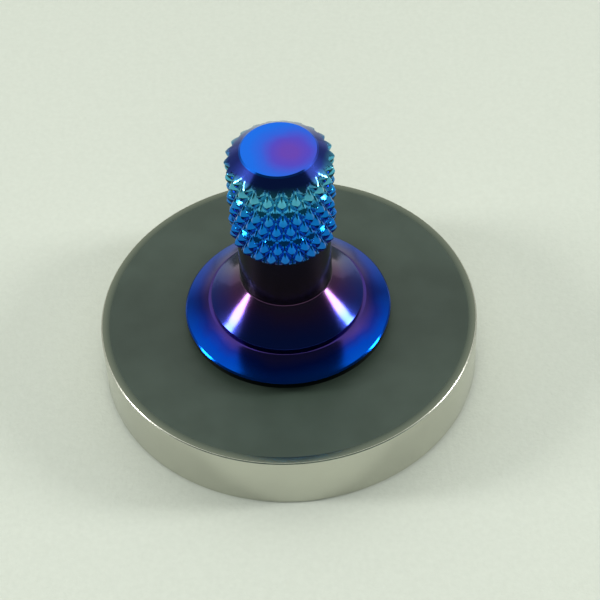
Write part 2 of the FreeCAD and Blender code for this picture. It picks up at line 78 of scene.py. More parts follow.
class Graph:
    """Short calls for the nodes that the finishes and the room share."""

    def __init__(self, tree: bpy.types.NodeTree) -> None:
        """Work on a node tree."""
        self.tree = tree

    def node(self, kind: str, **settings: object) -> bpy.types.Node:
        """Add a node and set its properties."""
        made = self.tree.nodes.new(kind)
        for key, value in settings.items():
            setattr(made, key, value)
        return made

    def feed(self, value: object, socket: bpy.types.NodeSocket) -> None:
        """Link a socket, or write a constant on it."""
        if isinstance(value, bpy.types.NodeSocket):
            self.tree.links.new(value, socket)
        elif socket.type == "RGBA" and len(value) == 3:
            socket.default_value = (*value, 1.0)
        else:
            socket.default_value = value

    def math(self, operation: str, first: object, second: object = 0.0) -> bpy.types.NodeSocket:
        """Work out one arithmetic step."""
        made = self.node("ShaderNodeMath", operation=operation)
        self.feed(first, made.inputs[0])
        self.feed(second, made.inputs[1])
        return made.outputs[0]

    def split(self, vector: object) -> tuple[bpy.types.NodeSocket, ...]:
        """The three parts of a vector."""
        made = self.node("ShaderNodeSeparateXYZ")
        self.feed(vector, made.inputs[0])
        return tuple(made.outputs)

    def distance(self, across: object, along: object) -> bpy.types.NodeSocket:
        """Length of a plane vector."""
        squares = self.math("ADD", self.math("POWER", across, 2.0), self.math("POWER", along, 2.0))
        return self.math("SQRT", squares)

    def spread(self, value: object, low: float, high: float,
               start: float = 0.0, end: float = 1.0) -> bpy.types.NodeSocket:
        """Carry a value from the span start to end over to the span low to high."""
        made = self.node("ShaderNodeMapRange")
        self.feed(value, made.inputs["Value"])
        made.inputs["From Min"].default_value = start
        made.inputs["From Max"].default_value = end
        made.inputs["To Min"].default_value = low
        made.inputs["To Max"].default_value = high
        return made.outputs["Result"]

    def around(self, value: object, middle: float, drift: float,
               span: Pair = (0.0, 1.0)) -> bpy.types.NodeSocket:
        """Carry a value in a span over to the middle, less or plus a drift."""
        return self.spread(value, middle - drift, middle + drift, *span)

    def noise(self, vector: object, scale: float, detail: float = 3.0) -> bpy.types.NodeSocket:
        """Smooth noise from 0 to 1, with a scale in bumps per metre."""
        made = self.node("ShaderNodeTexNoise")
        self.feed(vector, made.inputs["Vector"])
        made.inputs["Scale"].default_value = scale
        made.inputs["Detail"].default_value = detail
        return made.outputs["Fac"]

    def bands(self, value: object, stops: Bands, unit: float = 1.0) -> bpy.types.NodeSocket:
        """Colour that runs through the given stops, each at its own value times a unit."""
        first, last = stops[0][0], stops[-1][0]
        made = self.node("ShaderNodeValToRGB")
        self.feed(self.spread(value, 0.0, 1.0, first * unit, last * unit), made.inputs["Fac"])
        elements = made.color_ramp.elements
        while len(elements) < len(stops):
            elements.new(1.0)
        for element, (place, colour) in zip(elements, stops):
            element.position = (place - first) / (last - first)
            element.color = (*colour, 1.0)
        return made.outputs["Color"]

    def blend(self, factor: object, first: object, second: object) -> bpy.types.NodeSocket:
        """Colour between two colours."""
        made = self.node("ShaderNodeMix", data_type="RGBA")
        colours = [socket for socket in made.inputs if socket.type == "RGBA"]
        self.feed(factor, made.inputs["Factor"])
        self.feed(first, colours[0])
        self.feed(second, colours[1])
        return next(socket for socket in made.outputs if socket.type == "RGBA")


class Finishing(Graph):
    """Graph of one material, which holds one Principled shader."""

    def __init__(self, name: str) -> None:
        """Start a material."""
        self.material = bpy.data.materials.new(name)
        self.material.use_nodes = True
        super().__init__(self.material.node_tree)
        self.shader = self.tree.nodes["Principled BSDF"]
        self.place = self.node("ShaderNodeTexCoord").outputs["Object"]
        across, along, self.height = self.split(self.place)
        self.radius = self.distance(across, along)

    def set(self, **sockets: object) -> None:
        """Feed sockets of the Principled shader; an underscore stands for a blank."""
        for name, value in sockets.items():
            wanted = name.replace("_", " ").lower()
            self.feed(value, next(item for item in self.shader.inputs if item.name.lower() == wanted))

    def bump(self, height: object, depth: float, before: object = None) -> bpy.types.NodeSocket:
        """Normal of a surface roughened by a height of 0 to 1 over a depth in metres."""
        made = self.node("ShaderNodeBump")
        made.inputs["Distance"].default_value = depth
        self.feed(height, made.inputs["Height"])
        if before is not None:
            self.feed(before, made.inputs["Normal"])
        return made.outputs["Normal"]

    def turning(self, pitch: float) -> bpy.types.NodeSocket:
        """Height of lathe marks: noise that changes along radius and height but not round the axis."""
        joined = self.node("ShaderNodeCombineXYZ")
        self.feed(self.radius, joined.inputs["X"])
        self.feed(self.height, joined.inputs["Y"])
        return self.noise(joined.outputs[0], 1.0 / pitch, 2.0)


# ---------------------------------------------------------------------------------------------------
# Finishes


class Measure(Enum):
    """What the colour of an anodised piece follows."""

    HEIGHT = "height"
    RADIUS = "radius"


@dataclass(frozen=True)
class TurnedMetal:
    """Bare metal off the lathe, with fine turning marks over a blasted grain.

    Above a level the colour is painted shade: the up-facing lip is darkened, by bands of colour that
    follow the radius and lighten outwards. Pitches, depths, levels and radii are millimetres, and the
    cloud's scale is bumps per metre.
    """

    name: str
    dark: Colour
    light: Colour
    roughness: float = 0.22
    mark_pitch: float = 0.09
    mark_depth: float = 0.003
    grain_pitch: float = 0.12
    grain_depth: float = 0.003
    # Above this level the colour is painted shade of the up-facing lip, in the bands below.
    painted_shade_level: float = 1000.0
    painted_shade_bands: Bands = (
        (19.05, (0.064, 0.083, 0.066)), (19.35, (0.1, 0.12, 0.095)), (19.8, (0.15, 0.17, 0.13)))
    cloud_scale: float = 160.0
    cloud_span: Pair = (0.3, 0.7)
    roughness_drift: float = 0.06

    def build(self) -> bpy.types.Material:
        """Make the material."""
        graph = Finishing(self.name)
        grain = graph.noise(graph.place, 1.0 / (self.grain_pitch * MM), 4.0)
        cloud = graph.noise(graph.place, self.cloud_scale, 2.0)
        shaded = graph.bump(graph.turning(self.mark_pitch * MM), self.mark_depth * MM)
        bare = graph.bands(cloud, tuple(zip(self.cloud_span, (self.dark, self.light))))
        # Mask of the up-facing lip, where painted shade takes the place of the bare steel colour.
        above = graph.math("GREATER_THAN", graph.height, self.painted_shade_level * MM)
        graph.set(
            base_color=graph.blend(above, bare, graph.bands(graph.radius, self.painted_shade_bands, MM)),
            metallic=1.0,
            roughness=graph.around(grain, self.roughness, self.roughness_drift),
            normal=graph.bump(grain, self.grain_depth * MM, shaded),
        )
        return graph.material


@dataclass(frozen=True)
class HeatPatch:
    """Off-centre patch above a level, where the colour follows the distance from the patch's middle."""

    above: float
    middle: Pair
    bands: Bands


@dataclass(frozen=True)
class AnodisedMetal:
    """Anodised titanium, whose colour runs with the height or the radius and drifts a little.

    Lengths are millimetres, and scales are bumps per metre. Below a level the colour may be painted
    near-black, as painted shadow and painted reflection.
    """

    name: str
    measure: Measure
    bands: Bands
    patch: HeatPatch | None = None
    # Below this level the colour is painted near-black: painted shadow and painted reflection of a dark
    # face.
    painted_dark_below: float = -1000.0
    painted_dark_colour: Colour = (0.006, 0.01, 0.014)
    roughness: float = 0.13
    roughness_drift: float = 0.03
    drift: float = 0.35
    cloud_scale: float = 240.0
    cloud_span: Pair = (0.3, 0.7)
    grain_scale: float = 14000.0
    mark_pitch: float = 0.07
    mark_depth: float = 0.0007

    def build(self) -> bpy.types.Material:
        """Make the material."""
        graph = Finishing(self.name)
        cloud = graph.noise(graph.place, self.cloud_scale, 3.0)
        shift = graph.around(cloud, 0.0, self.drift * MM, self.cloud_span)
        distance = graph.height if self.measure is Measure.HEIGHT else graph.radius
        colour = graph.bands(graph.math("ADD", distance, shift), self.bands, MM)
        if self.patch is not None:
            across, along, _ = graph.split(graph.place)
            off_middle = graph.distance(graph.math("SUBTRACT", across, self.patch.middle[0] * MM),
                                        graph.math("SUBTRACT", along, self.patch.middle[1] * MM))
            flat = graph.bands(graph.math("ADD", off_middle, shift), self.patch.bands, MM)
            above = graph.math("GREATER_THAN", graph.height, self.patch.above * MM)
            colour = graph.blend(above, colour, flat)
        # Below the level the anodised colour gives way to painted near-black, painted shadow and painted
        # reflection.
        clear_of_painted_dark = graph.math("GREATER_THAN", graph.height, self.painted_dark_below * MM)
        colour = graph.blend(clear_of_painted_dark, self.painted_dark_colour, colour)
        grain = graph.noise(graph.place, self.grain_scale, 2.0)
        graph.set(
            base_color=colour,
            metallic=1.0,
            roughness=graph.around(grain, self.roughness, self.roughness_drift),
            normal=graph.bump(graph.turning(self.mark_pitch * MM), self.mark_depth * MM),
        )
        return graph.material


@dataclass(frozen=True)
class MouldedPlastic:
    """Moulded plastic, rubber or ceramic with a fine grain; pitch and depth in millimetres."""

    name: str
    dark: Colour
    light: Colour
    roughness: float = 0.45
    grain_pitch: float = 0.25
    grain_depth: float = 0.003
    specular: float = 0.5
    roughness_drift: float = 0.05
    cloud_scale: float = 300.0
    cloud_span: Pair = (0.35, 0.65)

    def build(self) -> bpy.types.Material:
        """Make the material."""
        graph = Finishing(self.name)
        grain = graph.noise(graph.place, 1.0 / (self.grain_pitch * MM), 3.0)
        cloud = graph.noise(graph.place, self.cloud_scale, 2.0)
        graph.set(
            base_color=graph.bands(cloud, tuple(zip(self.cloud_span, (self.dark, self.light)))),
            roughness=graph.around(grain, self.roughness, self.roughness_drift),
            specular_ior_level=self.specular,
            normal=graph.bump(grain, self.grain_depth * MM),
        )
        return graph.material


# Bands of an anodised piece: radius or level in millimetres, and the colour there.
FLANGE_BANDS: Bands = (
    (7.9, (0.05, 0.03, 0.14)), (8.6, (0.05, 0.03, 0.2)), (9.3, (0.008, 0.024, 0.27)),
    (10.0, (0.001, 0.046, 0.42)), (10.8, (0.001, 0.064, 0.46)),
)
GRIP_BANDS: Bands = (
    (10.6, (0.02, 0.04, 0.3)), (11.4, (0.02, 0.036, 0.26)), (12.4, (0.045, 0.032, 0.2)),
    (13.6, (0.09, 0.035, 0.13)), (15.0, (0.1, 0.05, 0.09)), (20.4, (0.07, 0.045, 0.1)),
    (20.9, (0.02, 0.17, 0.56)), (22.5, (0.006, 0.17, 0.68)), (26.6, (0.006, 0.19, 0.66)),
    (28.1, (0.03, 0.3, 0.64)), (29.3, (0.09, 0.43, 0.62)), (30.7, (0.08, 0.37, 0.58)),
    (31.3, (0.03, 0.06, 0.34)), (32.0, (0.03, 0.05, 0.34)),
)
TOP_PATCH = HeatPatch(31.93, (1.1, -0.4), (
    (0.6, (0.125, 0.055, 0.42)), (1.8, (0.085, 0.06, 0.5)), (3.0, (0.03, 0.11, 0.66)),
    (4.2, (0.012, 0.14, 0.74)),
))


class Finish(Enum):
    """Named finishes of the top's pieces."""

    # The steel carries painted shade above 7.49 mm, on its up-facing lip.
    STEEL = TurnedMetal("satin_steel", (0.54, 0.54, 0.475), (0.6, 0.6, 0.525), painted_shade_level=7.49)
    COVER = TurnedMetal("cover_steel", (0.42, 0.43, 0.385), (0.5, 0.51, 0.46), 0.38)
    WINDOW = MouldedPlastic("smoked_window", (0.035, 0.052, 0.039), (0.041, 0.06, 0.046), 0.5,
                            0.06, 0.001, 0.3)
    # Below 9.03 mm, on the upright edge and the undercut foot, the flange is painted near-black: painted
    # shadow under the edge and painted reflection of the dark face.
    FLANGE = AnodisedMetal("anodised_flange", Measure.RADIUS, FLANGE_BANDS, painted_dark_below=9.03)
    GRIP = AnodisedMetal("anodised_grip", Measure.HEIGHT, GRIP_BANDS, TOP_PATCH)
    BALL = MouldedPlastic("ball_ceramic", (0.78, 0.77, 0.72), (0.84, 0.83, 0.79), 0.12, 0.3, 0.0005)
    RUBBER = MouldedPlastic("cushion_rubber", (0.02, 0.02, 0.02), (0.035, 0.035, 0.035), 0.7)
    BOARD = MouldedPlastic("board_green", (0.01, 0.07, 0.03), (0.02, 0.1, 0.045), 0.35, 0.5)
    LAMP = MouldedPlastic("lamp_phosphor", (0.75, 0.68, 0.3), (0.85, 0.78, 0.42), 0.3)
    CHIP = MouldedPlastic("chip_black", (0.015, 0.015, 0.016), (0.03, 0.03, 0.032), 0.5)
    CARRIER = MouldedPlastic("carrier_black", (0.02, 0.02, 0.022), (0.035, 0.035, 0.04), 0.5)
    CELL = TurnedMetal("cell_steel", (0.55, 0.55, 0.53), (0.62, 0.62, 0.6), 0.25)
    CONTACT = TurnedMetal("contact_bronze", (0.6, 0.4, 0.16), (0.7, 0.48, 0.22), 0.28)
    WEIGHT = TurnedMetal("weight_brass", (0.62, 0.44, 0.16), (0.72, 0.52, 0.22), 0.3)


MATERIALS: dict[Finish, bpy.types.Material] = {}


def material_of(finish: Finish) -> bpy.types.Material:
    """The material of a finish, made once."""
    if finish not in MATERIALS:
        MATERIALS[finish] = finish.value.build()
    return MATERIALS[finish]


# ---------------------------------------------------------------------------------------------------
# Surfaces


def softened(corners: Sequence[Corner], steps: int = 5) -> np.ndarray:
    """Round the corners of an open outline, all but its ends.

    Each corner gives way to an arc that touches its two sides. The arc starts and ends at
    radius * tan(turn / 2) from the corner, and its points divide the turn evenly.

    Args:
        corners: Radius, level and rounding of each corner in millimetres; a rounding of 0 keeps it sharp.
        steps: Spans in each arc.

    Returns:
        Points of the outline in metres, one row each.
    """
    points = np.array(corners, float)[:, :2]
    rounding = [corner[2] for corner in corners[1:-1]]
    outline = [points[0]]
    for before, corner, after, radius in zip(points, points[1:], points[2:], rounding):
        if radius == 0:
            outline.append(corner)
            continue
        incoming = (corner - before) / np.linalg.norm(corner - before)
        outgoing = (after - corner) / np.linalg.norm(after - corner)
        turn = math.atan2(incoming[0] * outgoing[1] - incoming[1] * outgoing[0], incoming @ outgoing)
        normal = np.array([-incoming[1], incoming[0]]) * math.copysign(1.0, turn)
        start = corner - incoming * radius * math.tan(abs(turn) / 2)
        angles = np.linspace(0.0, abs(turn), steps + 1)[:, None]
        outline.extend(start + radius * (np.sin(angles) * incoming + (1 - np.cos(angles)) * normal))
    outline.append(points[-1])
    return np.array(outline) * MM


def hollowed(start: Pair, end: Pair, sag: float, steps: int = 8) -> list[Corner]:
    """Sharp corners along a shallow hollow curve between two points, without its ends.

    The curve is the chord less sag * 4 * t * (1 - t) square to it, with t the share of the chord.

    Args:
        start: Radius and level of the outer, lower end.
        end: Radius and level of the inner, upper end.
        sag: Depth of the hollow at its middle.
        steps: Spans of the curve.

    Returns:
        Radius, level and a rounding of 0 for each point.
    """
    first, last = np.array(start), np.array(end)
    share = np.linspace(0.0, 1.0, steps + 1)[1:-1, None]
    along = (last - first) / np.linalg.norm(last - first)
    inwards = np.array([-along[1], along[0]])
    curve = first + share * (last - first) + 4 * share * (1 - share) * sag * inwards
    return [(radius, level, 0.0) for radius, level in curve]


def make_piece(name: str, points: np.ndarray, faces: np.ndarray, finish: Finish,
               sharp: float = 25.0) -> bpy.types.Object:
    """Put arrays into a mesh, shade it smooth but for its sharp edges, and dress it.

    Args:
        name: Name of the piece.
        points: Corner positions in metres.
        faces: Three corner numbers to a row.
        finish: What it is made of.
        sharp: Edges that turn by more degrees than this stay sharp.

    Returns:
        The piece, at the origin.
    """
    mesh = bpy.data.meshes.new(name)
    mesh.vertices.add(len(points))
    mesh.vertices.foreach_set("co", np.ascontiguousarray(points, np.float32).ravel())
    mesh.loops.add(faces.size)
    mesh.loops.foreach_set("vertex_index", np.ascontiguousarray(faces, np.int32).ravel())
    mesh.polygons.add(len(faces))
    mesh.polygons.foreach_set("loop_start", np.arange(0, faces.size, 3, dtype=np.int32))
    mesh.update(calc_edges=True)
    mesh.validate()
    mesh.shade_smooth()
    mesh.set_sharp_from_angle(angle=math.radians(sharp))
    mesh.materials.append(material_of(finish))
    piece = bpy.data.objects.new(name, mesh)
    bpy.context.scene.collection.objects.link(piece)
    return piece


def grid_faces(rows: int, columns: int, radii: np.ndarray, wrap_rows: bool) -> np.ndarray:
    """Triangles of a grid that closes round the axis, facing outwards for an outline that runs upwards.

    Each cell is cut along the diagonal whose ends lie nearer the axis, so that a groove that crosses
    the cell from corner to corner stays crisp.

    Args:
        rows: Rows of points along the outline.
        columns: Points in one turn.
        radii: Distance from the axis at each point, rows by columns.
        wrap_rows: Whether the last row joins the first.

    Returns:
        Three point numbers to a row.
    """
    row = np.arange(rows if wrap_rows else rows - 1)[:, None]
    column = np.arange(columns)[None, :]
    above = (row + 1) % rows
    beside = (column + 1) % columns
    corner = row * columns + column
    right = row * columns + beside
    far = above * columns + beside
    up = above * columns + column
    rising = radii[row, column] + radii[above, beside] <= radii[row, beside] + radii[above, column]
    cut = rising[..., None]
    first = np.where(cut, np.stack([corner, right, far], -1), np.stack([corner, right, up], -1))
    second = np.where(cut, np.stack([corner, far, up], -1), np.stack([right, far, up], -1))
    return np.concatenate([first.reshape(-1, 3), second.reshape(-1, 3)])


def lathe(name: str, outline: np.ndarray, finish: Finish, columns: int,
          radii: np.ndarray | None = None) -> bpy.types.Object:
    """Turn an outline about Z.

    A point at radius r, angle a and level z is (r cos a, r sin a, z). An outline that starts and ends on
    the axis closes there with a fan of triangles; any other is taken as a closed loop.

    Args:
        name: Name of the piece.
        outline: (radius, level) rows in metres, upwards along the outside.
        finish: What it is made of.
        columns: Points in one turn.
        radii: Radii, rows by columns, where they change round the turn.

    Returns:
        The piece.
    """
    closes_on_axis = outline[0, 0] == 0 and outline[-1, 0] == 0
    body = outline[1:-1] if closes_on_axis else outline
    angles = np.linspace(0, 2 * math.pi, columns, endpoint=False)[None, :]
    around = np.repeat(body[:, :1], columns, axis=1) if radii is None else radii
    levels = np.repeat(body[:, 1:], columns, axis=1)
    points = np.stack([around * np.cos(angles), around * np.sin(angles), levels], -1).reshape(-1, 3)
    faces = grid_faces(len(body), columns, around, not closes_on_axis)
    if closes_on_axis:
        bottom = len(points)
        column = np.arange(columns)
        beside = (column + 1) % columns
        last = (len(body) - 1) * columns
        fans = [np.stack([np.full(columns, bottom), beside, column], -1),
                np.stack([np.full(columns, bottom + 1), last + column, last + beside], -1)]
        ends = [[0, 0, outline[0, 1]], [0, 0, outline[-1, 1]]]
        points = np.concatenate([points, ends])
        faces = np.concatenate([faces, *fans])
    return make_piece(name, points, faces, finish)


def knurl_height(steps: np.ndarray, rows: np.ndarray, land: float, rounding: float,
                 power: int = 6) -> np.ndarray:
    """Height of a diamond knurl, from 0 in its grooves to 1 on its domed points.

    Points stand at every whole step in even rows and half a step further in odd rows. With
    s = steps + rows / 2 and t = steps - rows / 2 every point has whole s and t, and the fall from a point
    is twice the distance from s or t to the nearest whole number, whichever is larger, with that corner
    rounded as a power mean. The walls rise evenly from the grooves to the land, and a smooth minimum
    (a + b - root((a - b) squared + rounding squared)) / 2 joins them to it. The result is then carried
    over to the span from 0 to 1.

    Args:
        steps: Place round the axis, in points of one row.
        rows: Place along the axis, in rows of points.
        land: Share of the half step that a blunt point takes.
        rounding: Softness of the land's edge, as a share of the height.
        power: Power of the mean that rounds the corner between two grooves; the larger, the sharper.

    Returns:
        The height at each place.
    """
    first = steps + rows / 2
    second = steps - rows / 2
    off_first = np.abs(first - np.round(first))
    off_second = np.abs(second - np.round(second))
    fall = 2 * (off_first ** power + off_second ** power) ** (1 / power)
    peak = 1 / (1 - land)
    wall = np.maximum(1 - fall, 0) / (1 - land)
    crest = (peak + 1 - math.sqrt((peak - 1) ** 2 + rounding ** 2)) / 2
    foot = (1 - math.sqrt(1 + rounding ** 2)) / 2
    return ((wall + 1 - np.sqrt((wall - 1) ** 2 + rounding ** 2)) / 2 - foot) / (crest - foot)


# ---------------------------------------------------------------------------------------------------
# The top


def radius_of(node: str) -> float:
    """Largest radius of a round node that stands on the axis, in millimetres."""
    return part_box(node)[1].x / MM


def levels_of(node: str) -> Pair:
    """Lowest and highest level of a node, in millimetres."""
    low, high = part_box(node)
    return low.z / MM, high.z / MM


def dress(piece: bpy.types.Object, node: str) -> None:
    """Let a piece stand for a node: hide the node and let the piece ride on the top."""
    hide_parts(node)
    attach(piece, BODY)
    log.info("%s stands for %s", piece.name, node)


@dataclass
class Wheel:
    """Steel ring and smoked face; the lower cover keeps its own shape."""

    columns: int = 256
    edge_round: float = 0.2
    edge_steps: int = 8
    lip_width: float = 0.7
    cover_ledge: float = 1.0
    cover_height: float = 1.2
    cover_gap: float = 0.05
    window_hole: float = 4.15
    radius: float = field(default_factory=lambda: radius_of("flywheel_ring"))
    cover_radius: float = field(default_factory=lambda: radius_of("base_cover"))
    levels: Pair = field(default_factory=lambda: levels_of("flywheel_ring"))
    window_levels: Pair = field(default_factory=lambda: levels_of("face_window"))

    @property
    def seat(self) -> float:
        """Radius where the face meets the lip."""
        return self.radius - self.edge_round - self.lip_width

    def build(self) -> None:
        """Make the wheel's pieces."""
        self.build_ring()
        self.build_window()

    def build_ring(self) -> None:
        """Ring with a rounded edge above and below, and a recess for the window."""
        under, face = self.levels
        cover_seat = self.cover_radius + self.cover_gap
        bore = cover_seat - self.cover_ledge
        window_bottom = self.window_levels[0]
        shoulder = under + self.cover_height
        corners = [
            (cover_seat, under, 0), (self.radius, under, self.edge_round),
            (self.radius, face, self.edge_round), (self.seat, face, 0), (self.seat, window_bottom, 0),
            (bore, window_bottom, 0), (bore, shoulder, 0), (cover_seat, shoulder, 0),
            (cover_seat, under, 0),
        ]
        outline = softened(corners, self.edge_steps)[:-1]
        dress(lathe("wheel_ring", outline, Finish.STEEL, self.columns), "flywheel_ring")

    def build_window(self) -> None:
        """Dark disc flush with the lip, with a hole for the boss."""
        bottom, face = self.window_levels
        corners = [(self.window_hole, bottom), (self.seat, bottom), (self.seat, face),
                   (self.window_hole, face)]
        disc = lathe("dark_face", np.array(corners) * MM, Finish.WINDOW, self.columns)
        dress(disc, "face_window")


@dataclass
class Tip:
    """Ceramic ball that the top spins on."""

    rows: int = 48
    columns: int = 96
    radius: float = field(default_factory=lambda: radius_of("tip_ball"))

    def build(self) -> None:
        """Turn a half circle: at angle a from straight down its point is (r sin a, r - r cos a)."""
        angles = np.linspace(0, math.pi, self.rows + 1)
        outline = np.stack([np.sin(angles), 1 - np.cos(angles)], -1) * self.radius * MM
        outline[[0, -1], 0] = 0
        dress(lathe("tip_sphere", outline, Finish.BALL, self.columns), "tip_ball")


@dataclass
class Flange:
    """Anodised collar that stands on the face."""

    columns: int = 256
    foot_inset: float = 1.25
    foot_height: float = 0.85
    edge_height: float = 0.7
    bevel: float = 0.15
    bore: float = 2.05
    crown_sag: float = 0.04
    seat_radius: float = 8.3
    undercut_round: float = 0.05
    edge_lower_round: float = 0.06
    edge_upper_round: float = 0.04
    crown_outer_round: float = 0.05
    crown_inner_round: float = 0.18
    radius: float = field(default_factory=lambda: radius_of("flange"))
    levels: Pair = field(default_factory=lambda: levels_of("flange"))

    def build(self) -> None:
        """Turn the collar: an undercut foot, an upright edge and a sloping crown."""
        face, seat = self.levels
        foot = self.radius - self.foot_inset
        edge_bottom = face + self.foot_height
        edge_top = edge_bottom + self.edge_height
        crown_edge = (self.radius - self.bevel, edge_top + self.bevel)
        crown_top = (self.seat_radius, seat)
        corners = [
            (self.bore, face, 0), (foot, face, 0), (foot, edge_bottom, self.undercut_round),
            (self.radius, edge_bottom, self.edge_lower_round),
            (self.radius, edge_top, self.edge_upper_round),
            (*crown_edge, self.crown_outer_round), *hollowed(crown_edge, crown_top, self.crown_sag),
            (*crown_top, self.crown_inner_round), (self.bore, seat, 0), (self.bore, face, 0),
        ]
        outline = softened(corners)[:-1]
        dress(lathe("flange_collar", outline, Finish.FLANGE, self.columns), "flange")


@dataclass
class Grip:
    """Turned stem with a cone, a neck and a diamond-knurled grip."""

    stud_radius: float = 2.0
    foot_height: float = 0.4
    stem_height: float = 9.4
    neck_radius: float = 4.8
    neck_fillet: float = 0.3
    cone_sag: float = 0.14
    cone_spans: int = 8
    fillet_spans: int = 2
    grip_radius: float = 5.5
    lower_bevel: float = 0.7
    chamfer_width: float = 1.72
    chamfer_height: float = 1.38
    dish_depth: float = 0.12
    dish_rim: float = 0.3
    stud_round: float = 0.1
    foot_lower_round: float = 0.04
    foot_upper_round: float = 0.08
    grip_round: float = 0.05
    chamfer_round: float = 0.25
    dish_round: float = 0.1
    arc_steps: int = 8
    knurl_count: int = 22
    knurl_row: float = 1.333
    knurl_depth: float = 0.6
    knurl_land: float = 0.4
    knurl_rounding: float = 0.9
    groove_height: float = 3.5
    groove_rows: int = 3
    groove_count: int = 2
    groove_reach: float = 0.65
    cells_per_step: int = 16
    neck_margin: float = 0.5
    top_margin: float = 0.12
    foot_radius: float = field(default_factory=lambda: radius_of("grip"))
    seat: float = field(default_factory=lambda: levels_of("flange")[1])
    levels: Pair = field(default_factory=lambda: levels_of("grip"))

    @property
    def grip_bottom(self) -> float:
        """Level where the neck ends: the cone and the neck are the stem."""
        return self.seat + self.foot_height + self.stem_height

    @property
    def grooves(self) -> np.ndarray:
        """Levels of the ring grooves, each on a row of points."""
        rows = self.groove_rows * np.arange(self.groove_count)
        return self.grip_bottom + self.groove_height + rows * self.knurl_row

    def blank(self) -> np.ndarray:
        """Outline of the grip before it is knurled, from the stud's end up to the dished top.

        The cone slopes 45 degrees on the whole. Its last spans are left out, where the fillet takes over.
        """
        stud_end, top = self.levels
        cone_start = (self.foot_radius, self.seat + self.foot_height)
        cone_end = (self.neck_radius, cone_start[1] + self.foot_radius - self.neck_radius)
        cone = hollowed(cone_start, cone_end, self.cone_sag, self.cone_spans)[:-self.fillet_spans]
        top_radius = self.grip_radius - self.chamfer_width
        corners = [
            (0, stud_end, 0), (self.stud_radius, stud_end, self.stud_round),
            (self.stud_radius, self.seat, 0), (self.foot_radius, self.seat, self.foot_lower_round),
            (*cone_start, self.foot_upper_round), *cone, (*cone_end, self.neck_fillet),
            (self.neck_radius, self.grip_bottom, self.grip_round),
            (self.grip_radius, self.grip_bottom + self.lower_bevel, self.grip_round),
            (self.grip_radius, top - self.chamfer_height, self.chamfer_round),
            (top_radius, top, self.grip_round), (top_radius - self.dish_rim, top, self.dish_round),
            (0, top - self.dish_depth, 0),
        ]
        return softened(corners, self.arc_steps)

    def knurl_levels(self, low: float, high: float) -> np.ndarray:
        """Levels of the grid over the grip, in metres: even parts of a row, and each edge of the blank.

        Levels that agree to a ten-thousandth of a millimetre count once.
        """
        row = self.knurl_row * MM
        fine = 2 * row / self.cells_per_step
        start = self.grooves[0] * MM
        below = math.floor((low - start) / fine)
        above = math.ceil((high - start) / fine)
        even = start + fine * np.arange(below, above + 1)
        reach = self.groove_reach * MM
        edges = np.concatenate([self.grooves * MM - reach, self.grooves * MM + reach])
        breaks = [(self.grip_bottom + self.lower_bevel) * MM, (self.levels[1] - self.chamfer_height) * MM]
        levels = np.unique(np.round(np.concatenate([even, edges, breaks]), 7))
        return levels[(levels > low) & (levels < high)]

    def cut_radii(self, outline: np.ndarray, inside: np.ndarray) -> np.ndarray:
        """Radii round each row of the outline, knurled where the row lies inside the grip.

        The radius is the smallest of the blank's, of root radius + depth * knurl height, and of root
        radius + depth * distance from the nearest ring groove / its reach.

        Args:
            outline: (radius, level) rows of the blank in metres, without the ends on the axis.
            inside: Whether each row lies inside the grip.

        Returns:
            Radii in metres, rows by columns.
        """
        columns = self.knurl_count * self.cells_per_step
        steps = np.arange(columns)[None, :] / self.cells_per_step + 0.5
        rows = (outline[:, 1:] - self.grooves[0] * MM) / (self.knurl_row * MM)
        depth = self.knurl_depth * MM
        root = self.grip_radius * MM - depth
        knurled = root + depth * knurl_height(steps, rows, self.knurl_land, self.knurl_rounding)
        off_groove = np.abs(outline[:, 1:] - self.grooves * MM).min(axis=1)
        grooved = root + depth * off_groove / (self.groove_reach * MM)
        turned = np.repeat(outline[:, :1], columns, axis=1)
        cut = np.minimum(knurled, grooved[:, None])
        return np.where(inside[:, None], np.minimum(turned, cut), turned)

    def build(self) -> None:
        """Cut the knurl into the blank and turn it.

        The grid's rows follow the blank, and over the grip they stand at even levels, so that the grooves
        of the knurl cross the grid from corner to corner.
        """
        blank = self.blank()
        low = (self.grip_bottom - self.neck_margin) * MM
        high = (self.levels[1] - self.top_margin) * MM
        levels = self.knurl_levels(low, high)
        side = np.flatnonzero((blank[:, 1] > low) & (blank[:, 1] < high) & (blank[:, 0] > 0))
        rising = blank[side[0] - 1:side[-1] + 2]
        over_grip = np.stack([np.interp(levels, rising[:, 1], rising[:, 0]), levels], -1)
        outline = np.concatenate([blank[:side[0]], over_grip, blank[side[-1] + 1:]])
        inner = outline[1:-1]
        radii = self.cut_radii(inner, (inner[:, 1] > low) & (inner[:, 1] < high))
        piece = lathe("knurled_grip", outline, Finish.GRIP, radii.shape[1], radii)
        dress(piece, "grip")


@dataclass
class Kept:
    """Nodes that keep their own shape and get a finish each: the lower cover and what the wheel holds."""

    finishes: dict[str, Finish] = field(default_factory=lambda: {
        "base_cover": Finish.COVER,
        "board_cushion": Finish.RUBBER,
        "circuit_board": Finish.BOARD,
        "led": Finish.LAMP,
        "controller_chip": Finish.CHIP,
        "resistor": Finish.CHIP,
        "cell_carrier": Finish.CARRIER,
        "cell_finger": Finish.CONTACT,
        "cell": Finish.CELL,
        "link_plate": Finish.CONTACT,
        "switch_weight": Finish.WEIGHT,
        "switch_contact": Finish.CONTACT,
        "switch_spring": Finish.CONTACT,
    })
    replaced: tuple[str, ...] = ("flywheel_ring", "face_window", "tip_ball", "flange", "grip")

    def build(self) -> None:
        """Give each node the finish of the first kind that its name starts with."""
        for name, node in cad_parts.items():
            if name in self.replaced:
                continue
            kind = next(kind for kind in self.finishes if name.startswith(kind))
            node.data.materials.clear()
            node.data.materials.append(material_of(self.finishes[kind]))
            log.info("%s is finished as %s", name, self.finishes[kind].value.name)


# ---------------------------------------------------------------------------------------------------
# Studio


